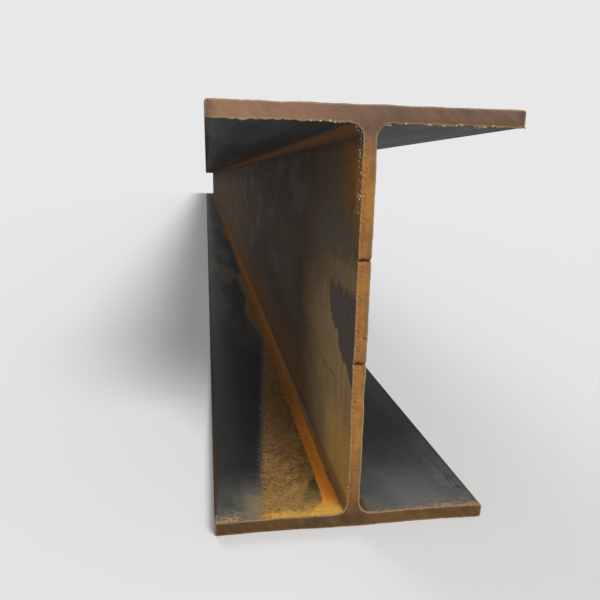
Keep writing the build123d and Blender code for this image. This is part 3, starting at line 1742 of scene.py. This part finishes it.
    def lay_lines(self, coats: Coats) -> None:
        """Lay the orange line along the fillets' toes, the brown tips and the scrape beside one.

        Args:
            coats: The flanges' coats.
        """
        paint = coats.paint
        soft = paint.noise(seed=81, across=0.008, along=0.05, detail=5)
        toe = paint.toe.shaken(soft, reach=0.0012)
        main = paint.low * paint.left
        patches = paint.noise(seed=83, across=0.3, along=0.45, detail=3)
        elsewhere = patches.step(off=0.35, on=0.8) * paint.end.step(off=0.2, on=0.8)
        strength = main.most(elsewhere) * paint.inside
        root = toe.step(off=0.0005, on=-0.006) * paint.inside
        coats.lay(root, paint.left.blend(self.shade, self.fillet), share=0.85)
        pocket = self.pocket_reach - paint.end * self.pocket_taper
        beside = (pocket - toe).step(off=0.0, on=0.008)
        beside = beside * paint.end.step(off=0.026, on=0.038) * main
        coats.lay(beside * paint.end.step(off=0.105, on=0.080), self.shade, share=0.85)
        pooled = paint.end.step(off=0.036, on=0.003)
        widest = (pooled * main).between(0.0050, 0.024)
        line = toe.band(-0.0060, widest, soft=0.0035) * strength
        faded = paint.end.step(off=0.06, on=0.40)
        tone = (soft * 0.25).blend(self.orange, self.rust)
        tone = (faded * 0.75).blend(tone, self.brown)
        coats.lay(line, (pooled * 0.8).blend(tone, self.yellow), share=0.95)
        tip = patches.between(0.001, 0.006) - paint.tip.shaken(soft, reach=0.0015)
        coats.lay(tip.step(off=-0.003, on=0.003), self.brown, share=0.8)
        self.lay_scrape(coats, soft)

    def lay_scrape(self, coats: Coats, soft: Value) -> None:
        """Lay the scrape of two dark lines beside the lower flange's right tip.

        Args:
            coats: The flanges' coats.
            soft: A noise that breaks it up.
        """
        paint = coats.paint
        right = paint.low * (1 - paint.left)
        off = paint.tip.shaken(soft, reach=0.002) - paint.end * self.scrape_drift
        length = paint.end.band(0.05, 0.16, soft=0.05) * right
        for place in self.scrape_places:
            mask = length * off.band(place, place + 0.0003, soft=0.0012) * soft
            coats.lay(mask, self.night, share=0.75)

    def lay_crumbs(self, coats: Coats) -> None:
        """Lay the broken crust of pale and rusty crumbs along the lower flange's cut edge.

        Args:
            coats: The flanges' coats.
        """
        paint = coats.paint
        grains = paint.noise(seed=47, across=0.0017, along=0.0022, harsh=0.7)
        lumps = paint.noise(seed=49, across=0.014, along=0.008, harsh=0.6, swirl=0.8)
        middle = paint.across.band(-0.118, -0.05, soft=0.012)
        left = paint.across.step(off=-0.112, on=-0.128)
        right = paint.across.step(off=-0.02, on=0.10)
        corner = left.most(right * 0.75)
        reach = corner * 0.036 + 0.006
        spread = paint.end / (reach * lumps.between(0.3, 1.1))
        mask = (grains - spread).step(off=0.0, on=0.25) * paint.low * middle.most(corner)
        tone = paint.noise(seed=48, across=0.004, detail=3)
        pale = tone.step(off=0.2, on=0.55)
        coats.lay(mask, pale.blend(self.rust, self.cream), share=0.7)
        coats.lay(mask * grains.step(off=0.5, on=0.2), self.brown, share=0.6)

    def patches(self) -> list[Patch]:
        """List the patches near the cut.

        Returns:
            Those on the lower flange's upper face.
        """
        left, right = -0.15, 0.15
        return [
            Patch(self.ochre, -0.09, -0.045, far=0.03, soft=0.045, wobble=0.01, share=0.35),
            Patch(self.yellow, -0.080, -0.009, far=0.008, soft=0.014, wobble=0.007, share=0.7),
            Patch(
                self.orange, -0.098, -0.082, near=0.005, far=0.010, soft=0.006, wobble=0.008, share=0.4
            ),
            Patch(self.cream, left, -0.128, far=0.003, soft=0.006, wobble=0.006, share=0.5),
            Patch(self.cream, 0.100, right, far=0.003, soft=0.006, wobble=0.008, share=0.45),
        ]


@dataclass(frozen=True)
class WebFinish(RolledFinish):
    """The web: dark, drip-streaked rust with whole flakes of scale, and painted shade on its left near
    the cut.

    Attributes:
        dark: Darkest colour of the drips.
        light: Their lightest.
        near_cut: Colour near the cut: rust, and painted light on the web's left there.
        open_side: Colour of the web's right side and far stretch, lighter than the painted shade on its
            left.
    """

    name: ClassVar[str] = "scale_and_rust_of_web"

    dark: Colour = (0.026, 0.020, 0.014)
    light: Colour = (0.085, 0.062, 0.038)
    near_cut: Colour = (0.56, 0.365, 0.165)
    open_side: Colour = (0.165, 0.108, 0.065)

    def coats(self, paint: BeamPaint) -> Coats:
        """Lay the coats of the web.

        Args:
            paint: The material.

        Returns:
            The coats.
        """
        drips = paint.noise(seed=31, across=0.09, along=0.006, detail=6, harsh=0.65)
        smudge = paint.noise(seed=41, across=0.10, along=0.35, detail=6)
        coats = Coats(paint, ((drips + smudge) / 2).blend(self.dark, self.light), rust=0.6)
        # Painted shade: the web's left keeps its dark drips for the first metre or two from the cut;
        # the rest is laid lighter brown.
        open_side = (1 - paint.left).most(paint.end.step(off=0.8, on=2.5))
        open_side = open_side * drips.between(0.45, 1.0)
        coats.lay(open_side, self.open_side, share=0.75, rust=0.7)
        low = paint.rise.step(off=0.14, on=0.01) * paint.low
        coats.lay(low, self.rust, share=open_side.between(0.3, 0.6))
        islands = paint.noise(seed=43, across=0.09, along=0.25, detail=6)
        coats.lay(islands.step(off=0.62, on=0.74), self.violet, share=0.4, rust=0.1)
        # Rust near the cut with painted light: strongest on the left and near the open end, weaker near
        # the top flange.
        near = paint.end.shaken(smudge, reach=0.05).step(off=0.36, on=0.0)
        near = near * paint.left.between(0.6, 1.0)
        under = paint.height.step(off=0.36, on=0.20)
        near_cut_rust_and_light = (drips * 0.5).blend(self.near_cut, self.light)
        coats.lay(near * under.between(0.25, 1.0), near_cut_rust_and_light, share=0.9, rust=0.7)
        glow = paint.end.step(off=0.12, on=0.0) * paint.height.step(off=0.2, on=0.03)
        coats.lay(glow, self.rust, share=0.5)
        ragged = self.ragged(paint)
        for patch in self.patches():
            patch.lay(coats, paint.height, paint.left, ragged)
        self.lay_flake(coats)
        lines = paint.noise(seed=53, across=0.014, along=0.0014, detail=3)
        coats.lay(lines.step(off=0.8, on=0.97) * near, self.frost, share=0.35)
        root = paint.rise.shaken(drips, reach=0.002).step(off=0.020, on=0.012)
        coats.lay(root, self.violet, share=0.5, rust=0.8)
        coats.lay(paint.rise.step(off=0.011, on=0.005), self.fillet, share=0.85)
        self.lay_rim(coats, ragged[0])
        return coats

    def lay_flake(self, coats: Coats) -> None:
        """Lay the dark scale still whole beside the cut, its lower edge slanting to the cut and lined
        with painted shadow.

        Args:
            coats: The web's coats.
        """
        paint = coats.paint
        torn = paint.noise(seed=59, across=0.028, detail=6, harsh=0.6)
        height = paint.height.shaken(torn, reach=0.010)
        reach = height.step(off=0.150, on=0.232).between(-0.006, 0.118)
        short = reach - paint.end
        top = height.step(off=0.268, on=0.250)
        # Painted shadow: a near-black band along the flake's lower edge, as if the scale were lifted
        # there.
        painted_flake_shadow = short.band(-0.0035, 0.0, soft=0.003) * top * paint.left
        coats.lay(painted_flake_shadow, self.night, share=0.85, rust=0.4)
        whole = short.step(off=0.0, on=0.004) * top * paint.left
        coats.lay(whole, self.violet, share=0.88, rust=0.1)
        # A crack below the flake, painted near-black for the crack and its shadow.
        crack = paint.height.shaken(torn, reach=0.008).band(0.144, 0.1455, soft=0.0015)
        length = paint.end.band(0.08, 0.19, soft=0.02) * paint.left
        coats.lay(crack * length, self.night, share=0.6, rust=0.4)

    def patches(self) -> list[Patch]:
        """List the patches near the cut.

        Returns:
            Those on the web's left face.
        """
        return [
            Patch(self.rust, 0.352, 0.385, far=0.035, soft=0.06, wobble=0.012, share=0.9),
            Patch(self.orange, 0.325, 0.380, far=0.010, soft=0.022, wobble=0.012, share=0.45),
            Patch(self.moss, 0.295, 0.332, far=0.16, soft=0.018, wobble=0.014, share=0.6, rust=0.3),
            Patch(self.yellow, 0.02, 0.075, far=0.09, soft=0.06, wobble=0.01, share=0.5),
        ]


@dataclass(frozen=True)
class TorchCutFinish:
    """The cut face: brown oxide with the torch's faint drag lines, redder down the web.

    Attributes:
        surface: What its patterns follow.
        nicks: Heights of the web's nicks.
        third_mark: Lower and upper limit of a fainter mark on the web: soot and a small nick's painted
            shade.
        relief: Height of the drag lines.
        lumpiness: How much higher the lumps on the web's left are.
        mirror: How strongly the oxide mirrors.
        tan: A colour of the layers, as all the fields after it are.
    """

    surface: Surface
    nicks: tuple[float, ...]
    third_mark: Place = (0.2143, 0.2151)
    relief: float = 0.2 * MM
    lumpiness: float = 7.5
    mirror: float = 0.15
    tan: Colour = (0.33, 0.18, 0.105)
    plum: Colour = (0.105, 0.070, 0.058)
    umber: Colour = (0.17, 0.078, 0.027)
    amber: Colour = (0.39, 0.172, 0.036)
    clay: Colour = (0.28, 0.115, 0.042)
    olive: Colour = (0.185, 0.115, 0.038)
    earth: Colour = (0.088, 0.050, 0.020)
    soot: Colour = (0.035, 0.022, 0.014)
    rim: Colour = (0.40, 0.30, 0.16)

    def material(self) -> Material:
        """Build the material.

        Returns:
            The material: the flanges' layers and the web's, with drag lines, grit and rim on both.
        """
        paint = BeamPaint("torch_cut_steel", self.surface)
        layers = self.flange_layers(paint)
        web = self.web_layers(paint)
        on_web = paint.rise.step(off=0.004, on=0.03)
        layers.lay(on_web, web.colour)
        lines = self.drag_lines(paint, on_web)
        marked = on_web.between(0.6, 0.3)
        layers.lay(lines.step(off=0.5, on=0.1) * marked, self.soot, share=0.10)
        layers.lay(lines.step(off=0.62, on=0.95) * marked, self.rim, share=0.10)
        grit = paint.noise(seed=91, across=0.0016)
        layers.lay(grit.step(off=0.72, on=1.0), self.soot, share=0.3)
        # The pale rim along the face's edge is melted oxide and a painted highlight on the edge.
        rim = paint.value("ShaderNodeAttribute", {}, "Fac", attribute_name=RIM_DISTANCE)
        torn = paint.noise(seed=97, across=0.006)
        edge = rim.shaken(torn, reach=0.0007).step(off=0.0011, on=0.0002)
        layers.lay(edge * torn.between(0.3, 1.0), self.rim, share=0.75)
        roughness = lines.between(0.62, 0.8)
        lumps = paint.noise(seed=93, across=0.0032, detail=3)
        lumps = lumps * on_web * paint.across.step(off=0.002, on=-0.004) * self.lumpiness
        height = ((lines + grit) / 2 + lumps) * self.relief
        return paint.finish(layers.colour, roughness, height, specular=self.mirror)

    def flange_layers(self, paint: BeamPaint) -> Layers:
        """Lay the layers of the flanges' cuts: tan and plum above, dark earth below.

        Args:
            paint: The material.

        Returns:
            The layers.
        """
        leaning = self.leaning(paint, slant=0.9)
        broad = self.streaks(leaning, paint.height, width=0.016, length=0.03, seed=5)
        clouds = paint.noise(seed=85, across=0.045, detail=5)
        mixed = (broad + clouds) / 2
        plummy = mixed.between(0.5, 1.0) * paint.across.step(off=-0.14, on=0.04)
        layers = Layers(paint, (mixed * 0.45).most(plummy).blend(self.tan, self.plum))
        tips = paint.tip.shaken(broad, reach=0.004).step(off=0.012, on=0.002)
        layers.lay(tips, self.plum, share=0.7)
        underside = paint.rise.shaken(clouds, reach=0.003).step(off=-0.0085, on=-0.0015)
        right = paint.across.step(off=-0.04, on=0.08)
        layers.lay(underside * right, self.umber, share=0.75)
        low = Layers(paint, broad.blend(self.earth, self.umber))
        low.lay(clouds.step(off=0.4, on=0.9), self.soot, share=0.35)
        low.lay(paint.across.step(off=0.02, on=-0.10), self.soot, share=0.3)
        layers.lay(paint.low, low.colour)
        return layers

    def web_layers(self, paint: BeamPaint) -> Layers:
        """Lay the layers of the web's cut: amber on the left, olive on the right, clay between.

        Args:
            paint: The material.

        Returns:
            The layers.
        """
        patches = paint.noise(seed=87, across=0.018, detail=5)
        blotches = paint.noise(seed=89, across=0.007)
        layers = Layers(paint, patches.blend(self.amber, self.clay))
        layers.lay(blotches.step(off=0.55, on=0.95), self.olive, share=0.35)
        across = paint.across.shaken(patches, reach=0.003)
        layers.lay(across.step(off=0.0005, on=0.006), self.olive, share=0.65)
        layers.lay(across.step(off=-0.0025, on=-0.006), self.amber, share=0.6)
        layers.lay(paint.height.step(off=0.11, on=0.04), self.umber, share=0.5)
        # Soot and painted shade: dark bands along the nicks, and a third where a small nick isn't
        # modelled.
        wavering = paint.height.shaken(blotches, reach=0.0008)
        for height in self.nicks:
            nick = wavering.band(height - 0.0007, height + 0.0007, soft=0.0008)
            layers.lay(nick, self.soot, share=0.9)
        third = paint.height.shaken(blotches, reach=0.0012).band(*self.third_mark, soft=0.0006)
        layers.lay(third * paint.across.step(off=0.0, on=0.003), self.soot, share=0.85)
        return layers

    def drag_lines(self, paint: BeamPaint, on_web: Value) -> Value:
        """Return the drag lines: through each flange's thickness and across the web.

        Args:
            paint: The material.
            on_web: Mask of the web.

        Returns:
            The lines, from 0 to 1.
        """
        leaning = self.leaning(paint, slant=0.7)
        through = self.streaks(leaning, paint.height, width=0.0022, length=0.02, seed=1)
        falling = paint.height + paint.across * 0.35
        level = self.streaks(falling, paint.across, width=0.0024, length=0.02, seed=2)
        return on_web.between(through, level)

    @staticmethod
    def leaning(paint: BeamPaint, slant: float) -> Value:
        """Return a place along a flange that leans with its height, as the torch leaned."""
        return paint.across + paint.height * slant

    @staticmethod
    def streaks(along: Value, through: Value, width: float, length: float, seed: float) -> Value:
        """Return streaks, as a torch draws them.

        Args:
            along: The place along the torch's pass, which they lie across.
            through: The place through the steel, which they follow.
            width: Their width.
            length: Their length.
            seed: A number that sets them apart from others.

        Returns:
            The streaks, from 0 to 1.
        """
        sheet = along.sheet
        place = sheet.vector(along / width, through / length, seed)
        return sheet.texture(place, detail=4, harsh=0.6).step(off=0.3, on=0.7)


@dataclass(frozen=True)
class SawCutFinish:
    """The plain far end: steel dulled by a thin, even rust.

    Attributes:
        steel: Colour of the dulled steel.
        rust: Colour of the rust over it.
        kerf: Width of the saw's lines.
        relief: Their depth.
    """

    steel: Colour = (0.2, 0.17, 0.145)
    rust: Colour = (0.3, 0.135, 0.05)
    kerf: float = 0.9 * MM
    relief: float = 0.08 * MM

    def material(self) -> Material:
        """Build the material.

        Returns:
            The material: clouds of rust on the steel, with the saw's slanting lines.
        """
        paint = Paint("saw_cut_steel")
        x, _, z = paint.parts(paint.place)
        clouds = paint.noise(seed=15, across=0.03, detail=6)
        lines = paint.texture(paint.vector((x + z) / self.kerf))
        colour = clouds.blend(self.steel, self.rust)
        roughness = clouds.between(0.5, 0.8)
        return paint.finish(colour, roughness, lines * self.relief, bump=0.7, metallic=0.3)


@dataclass(frozen=True)
class SlagFinish:
    """Frozen slag: dark oxide crusted with pale, dry rust, the two also painted shadows and highlights.

    Attributes:
        name: The material's name.
        dark: Colour of the oxide.
        crust: Colour of the crust on it, also a painted highlight.
    """

    name: str = "torch_slag"
    dark: Colour = (0.07, 0.045, 0.03)
    crust: Colour = (0.50, 0.39, 0.25)

    def material(self) -> Material:
        """Build the material."""
        paint = Paint(self.name)
        clouds = paint.noise(seed=5, across=0.003).step(off=0.3, on=0.7)
        return paint.finish(clouds.blend(self.dark, self.crust), roughness=0.6)


@dataclass(frozen=True)
class Beads:
    """One row of frozen beads.

    Attributes:
        name: The row's name.
        lines: The runs of points that carry it.
        seed: Seed of its chances.
        spacing: Distance between beads.
        radius: A middling bead's radius.
        scatter: How far a bead lies off its line.
        stretch: How much longer than round the longest is.
        share: Share of the places that hold a bead.
    """

    name: str
    lines: list[list[Vector]]
    seed: int
    spacing: float
    radius: float
    scatter: float
    stretch: float
    share: float = 0.5

    def build(self, finish: Material) -> Object:
        """Build the beads.

        Args:
            finish: Their material.

        Returns:
            All beads as one object.
        """
        points: list[Vector] = []
        edges: list[tuple[int, int]] = []
        for line in self.lines:
            first = len(points)
            points += line
            edges += pairwise(range(first, len(points)))
        mesh = bpy.data.meshes.new(f"{self.name}_line")
        mesh.from_pydata(points, edges, [])
        values = {label.title(): value for label, value in vars(self).items()}
        return baked_nodes(put_in_scene(mesh), slag_row(), values | {"Finish": finish}, self.name)


@dataclass
class HBeam:
    """The whole beam: its skin, its slag and their finishes.

    Attributes:
        low: Lowest corner of the beam's box.
        high: Highest corner.
    """

    low: Vector
    high: Vector

    def build(self) -> list[Object]:
        """Build, dress and place every piece.

        Returns:
            The pieces, each riding on the beam's body.
        """
        section = Section(width=self.high.x - self.low.x, depth=self.high.z - self.low.z)
        cut = TorchCut(section)
        skin_maker = BeamSkin(section, cut, self.low.y, self.high.y)
        skin = skin_maker.build()
        surface = Surface(section, self.low.y)
        rolled = (FlangeFinish(surface), WebFinish(surface))
        for finish in (*rolled, TorchCutFinish(surface, cut.nick_heights()), SawCutFinish()):
            skin.data.materials.append(finish.material())
        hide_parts(NODE)
        pieces = [skin, *self.slag(skin_maker)]
        for piece in pieces:
            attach(piece, BODY)
            LOG.info("%s: %d faces", piece.name, len(piece.data.polygons))
        return pieces

    @staticmethod
    def slag(skin: BeamSkin) -> list[Object]:
        """Build the slag that the torch left: a hanging row and a patch of spatter.

        Args:
            skin: The finished skin, which knows its cut edges.

        Returns:
            The two pieces.
        """
        # The spatter's near-white and near-black are crust and oxide, and also painted highlights and
        # shadows.
        pale = SlagFinish("torch_spatter", dark=(0.018, 0.014, 0.012), crust=(0.78, 0.72, 0.62))
        hanging = Beads(
            "hanging_slag", skin.lip_lines, seed=7,
            spacing=4.4 * MM, radius=1.0 * MM, scatter=0.6 * MM, stretch=3.6,
        )
        spatter = Beads(
            "web_spatter", skin.spatter_lines, seed=11,
            spacing=2.3 * MM, radius=1.1 * MM, scatter=0.9 * MM, stretch=1.4,
        )
        return [hanging.build(SlagFinish().material()), spatter.build(pale.material())]


@dataclass(frozen=True)
class Studio:
    """A pale floor under soft light, seen from the photograph's viewpoint.

    Attributes:
        end: The middle of the beam's footprint at its torch-cut end.
        reach: Radius of the floor.
        sides: How many sides the floor has.
        pale: How pale the floor is as it is seen.
        bounce: How pale it is as a source of bounced light.
        sky_light: Strength of the sky as a lamp.
        key_light: Strength of the main lamp.
        key_heading: Angle clockwise from -Y, seen from above, that it shines from.
        key_height: Angle above the floor that both lamps shine from.
        fill_light: Strength of the lamp on the beam's far end.
        fill_heading: Where that one shines from.
        softness: Angle that each lamp fills in the sky.
        stand: Where the camera stands from the end.
        heading: Angle clockwise from +Y that the camera looks.
        pitch: Angle that it looks up.
        roll: Angle that it leans.
        lens: Its focal length in millimetres.
        sensor: Its sensor's width in millimetres.
        shift_up: Its shift, which holds the beam in the photograph's frame.
        nearest: The nearest that it sees.
    """

    end: Vector
    reach: float = 160.0
    sides: int = 96
    pale: float = 0.84
    bounce: float = 0.42
    sky_light: float = 0.34
    key_light: float = 2.7
    key_heading: float = -20.0
    key_height: float = 36.0
    fill_light: float = 0.6
    fill_heading: float = 160.0
    softness: float = 24.0
    stand: Point = (-0.1497, -0.5416, 0.3696)
    heading: float = 9.17
    pitch: float = -15.72
    roll: float = 1.05
    lens: float = 34.74
    sensor: float = 36.0
    shift_up: float = 0.0667
    nearest: float = 0.02

    def build(self) -> None:
        """Build the floor, the lamps, the sky and the camera."""
        self.add_floor()
        self.add_sky()
        self.add_sun("key", self.key_light, self.key_heading)
        self.add_sun("fill", self.fill_light, self.fill_heading)
        self.add_camera()

    def open_floor(self) -> float:
        """Return how bright the open floor looks, where only the suns and the sky reach it."""
        suns = (self.key_light + self.fill_light) * math.sin(math.radians(self.key_height))
        return self.pale * (self.sky_light + suns / math.pi)

    @staticmethod
    def seen(sheet: Sheet) -> Value:
        """Return the mask of what the camera sees, straight or in a reflection."""
        path = sheet.named(sheet.node("ShaderNodeLightPath", {}).outputs)
        shown = path["Is Camera Ray"].most(path["Is Glossy Ray"])
        return shown.most(path["Is Transmission Ray"])

    def add_floor(self) -> None:
        """Add the floor, pale as it is seen and darker as a source of bounced light."""
        bm = bmesh.new()
        bmesh.ops.create_circle(bm, cap_ends=True, segments=self.sides, radius=self.reach)
        mesh = bpy.data.meshes.new("floor")
        bm.to_mesh(mesh)
        bm.free()
        floor = put_in_scene(mesh)
        paint = Paint("pale_floor")
        colour = self.seen(paint).blend((self.bounce,) * 3, (self.pale,) * 3)
        mesh.materials.append(paint.finish(colour, roughness=1.0, specular=0.0))

    def add_sky(self) -> None:
        """Add the even sky, as pale as the open floor where it is seen and softer as a lamp."""
        world = bpy.data.worlds.new("studio_sky")
        world.use_nodes = True
        world.node_tree.nodes.clear()
        sheet = Sheet(world.node_tree)
        strength = self.seen(sheet).between(self.sky_light, self.open_floor())
        white = (1.0, 1.0, 1.0)
        back = sheet.value("ShaderNodeBackground", {"Color": white, "Strength": strength})
        sheet.node("ShaderNodeOutputWorld", {"Surface": back})
        bpy.context.scene.world = world

    def add_sun(self, name: str, strength: float, heading: float) -> None:
        """Add a soft lamp that lights the whole beam alike.

        Args:
            name: The lamp's name.
            strength: Its strength.
            heading: Angle clockwise from -Y, seen from above, that it shines from.
        """
        lamp = bpy.data.lights.new(name, "SUN")
        lamp.energy = strength
        lamp.angle = math.radians(self.softness)
        turn = self.turned("Z", -heading) @ self.turned("X", 90 - self.key_height)
        put_in_scene(lamp).matrix_world = turn

    def add_camera(self) -> None:
        """Add the camera at the photograph's viewpoint."""
        camera = bpy.data.cameras.new("camera")
        camera.sensor_width = self.sensor
        camera.lens = self.lens
        camera.shift_y = self.shift_up
        camera.clip_start = self.nearest
        camera.clip_end = 2 * self.reach
        aim = self.turned("Z", -self.heading) @ self.turned("X", 90 + self.pitch)
        stand = Matrix.Translation(self.end + Vector(self.stand))
        made = put_in_scene(camera)
        made.matrix_world = stand @ aim @ self.turned("Z", self.roll)
        bpy.context.scene.camera = made

    @staticmethod
    def turned(axis: str, angle: float) -> Matrix:
        """Return a turn about an axis."""
        return Matrix.Rotation(math.radians(angle), 4, axis)


def main() -> None:
    """Dress the beam and set it in the studio."""
    logging.basicConfig(level=logging.INFO, format="%(name)s %(message)s")
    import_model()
    low, high = (Vector(corner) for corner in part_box(NODE))
    bpy.context.scene.view_settings.view_transform = "Standard"
    HBeam(low, high).build()
    Studio(Vector(((low.x + high.x) / 2, low.y, low.z))).build()
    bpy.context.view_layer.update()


if __name__ == "__main__":
    main()
